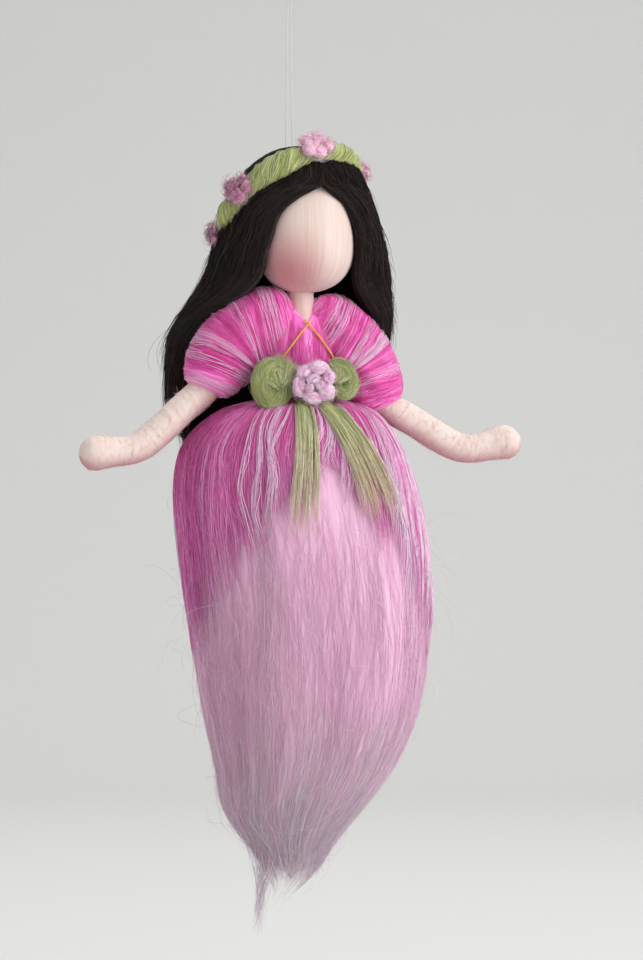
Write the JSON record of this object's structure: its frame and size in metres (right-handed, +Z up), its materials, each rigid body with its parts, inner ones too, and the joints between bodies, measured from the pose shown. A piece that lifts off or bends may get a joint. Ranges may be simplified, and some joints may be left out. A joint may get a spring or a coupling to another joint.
{
  "type": "hanging felt doll",
  "caption": "Faceless needle-felted wool doll in a long skirt, with flower wreath, bow and bendable wire-cored arms, hanging on a doubled thread.",
  "frame": {"origin": "inside top of the thread's eye, where it hangs on a hook", "axes": "+Z up along the hanging thread, -Y is where the doll faces, +X is the doll's own left"},
  "size_m": [0.1266, 0.0624, 0.2668],
  "materials": {
    "nylon_thread": "clear",
    "white_wool": "matte",
    "skin_wool": "matte",
    "hair_wool": "matte",
    "green_wool": "matte",
    "flower_wool": "matte",
    "pink_wool": "matte",
    "pale_pink_wool": "matte",
    "gold_thread": "metallic",
    "arm_wire": "satin"
  },
  "bodies": {
    "hanger": {"hanging_loop": "nylon_thread"},
    "knot": {"thread_knot": "nylon_thread"},
    "strands": {"hanging_thread": "nylon_thread"},
    "head": {"head_core": "white_wool", "head_skin": "skin_wool", "hair_left": "hair_wool", "hair_right": "hair_wool", "wreath_band": "green_wool", "wreath_flower_1": "flower_wool", "wreath_flower_2": "flower_wool", "wreath_flower_3": "flower_wool", "wreath_flower_4": "flower_wool", "wreath_flower_5": "flower_wool", "wreath_flower_6": "flower_wool", "wreath_flower_7": "flower_wool"},
    "torso": {"torso_core": "white_wool", "bodice": "pink_wool", "hair_fall": "hair_wool", "overskirt": "pink_wool", "underskirt": "pale_pink_wool", "waist_flower": "flower_wool", "bow_knot": "green_wool", "sash": "green_wool", "bow_loop_left": "green_wool", "bow_loop_right": "green_wool", "bow_tail_left": "green_wool", "bow_tail_right": "green_wool", "chest_wire": "arm_wire", "left_sleeve": "pink_wool", "right_sleeve": "pink_wool", "gold_thread_left": "gold_thread", "gold_thread_right": "gold_thread"},
    "left_shoulder": {"left_shoulder_wire": "arm_wire"},
    "left_upper_arm": {"left_upper_arm": "skin_wool", "left_upper_arm_wire": "arm_wire"},
    "left_forearm": {"left_forearm": "skin_wool", "left_forearm_wire": "arm_wire"},
    "right_shoulder": {"right_shoulder_wire": "arm_wire"},
    "right_upper_arm": {"right_upper_arm": "skin_wool", "right_upper_arm_wire": "arm_wire"},
    "right_forearm": {"right_forearm": "skin_wool", "right_forearm_wire": "arm_wire"}
  },
  "joints": [
    {"name": "swing_front", "type": "hinge", "parent": "hanger", "child": "knot", "pos_m": [0, 0, -0.00365], "axis": [1, 0, 0], "range_deg": [-25, 25]},
    {"name": "swing_side", "type": "hinge", "parent": "knot", "child": "strands", "pos_m": [0, 0, -0.00365], "axis": [0, 1, 0], "range_deg": [-25, 25]},
    {"name": "thread_turn", "type": "hinge", "parent": "strands", "child": "head", "pos_m": [0, 0, -0.0436], "axis": [0, 0, 1], "continuous": true},
    {"name": "neck_turn", "type": "hinge", "parent": "head", "child": "torso", "pos_m": [0.002, -0.0046, -0.0866], "axis": [0, 0, 1], "range_deg": [-20, 20], "stiffness_Nm_per_rad": 0.004},
    {"name": "left_shoulder_swing", "type": "hinge", "parent": "torso", "child": "left_shoulder", "pos_m": [0.0244, -0.005, -0.1162], "axis": [0, 0, 1], "range_deg": [-20, 20]},
    {"name": "left_shoulder_raise", "type": "hinge", "parent": "left_shoulder", "child": "left_upper_arm", "pos_m": [0.0244, -0.005, -0.1162], "axis": [-0.1219, -0.9925, 0], "range_deg": [-6, 36]},
    {"name": "left_elbow", "type": "hinge", "parent": "left_upper_arm", "child": "left_forearm", "pos_m": [0.04788, -0.00788, -0.13042], "axis": [-0.1219, -0.9925, 0], "range_deg": [-40, 50]},
    {"name": "right_shoulder_swing", "type": "hinge", "parent": "torso", "child": "right_shoulder", "pos_m": [-0.024, -0.005, -0.112], "axis": [0, 0, 1], "range_deg": [-20, 20]},
    {"name": "right_shoulder_raise", "type": "hinge", "parent": "right_shoulder", "child": "right_upper_arm", "pos_m": [-0.024, -0.005, -0.112], "axis": [-0.1219, 0.9925, 0], "range_deg": [-6, 36]},
    {"name": "right_elbow", "type": "hinge", "parent": "right_upper_arm", "child": "right_forearm", "pos_m": [-0.04452, -0.00752, -0.13029], "axis": [-0.1219, 0.9925, 0], "range_deg": [-40, 50]}
  ]
}
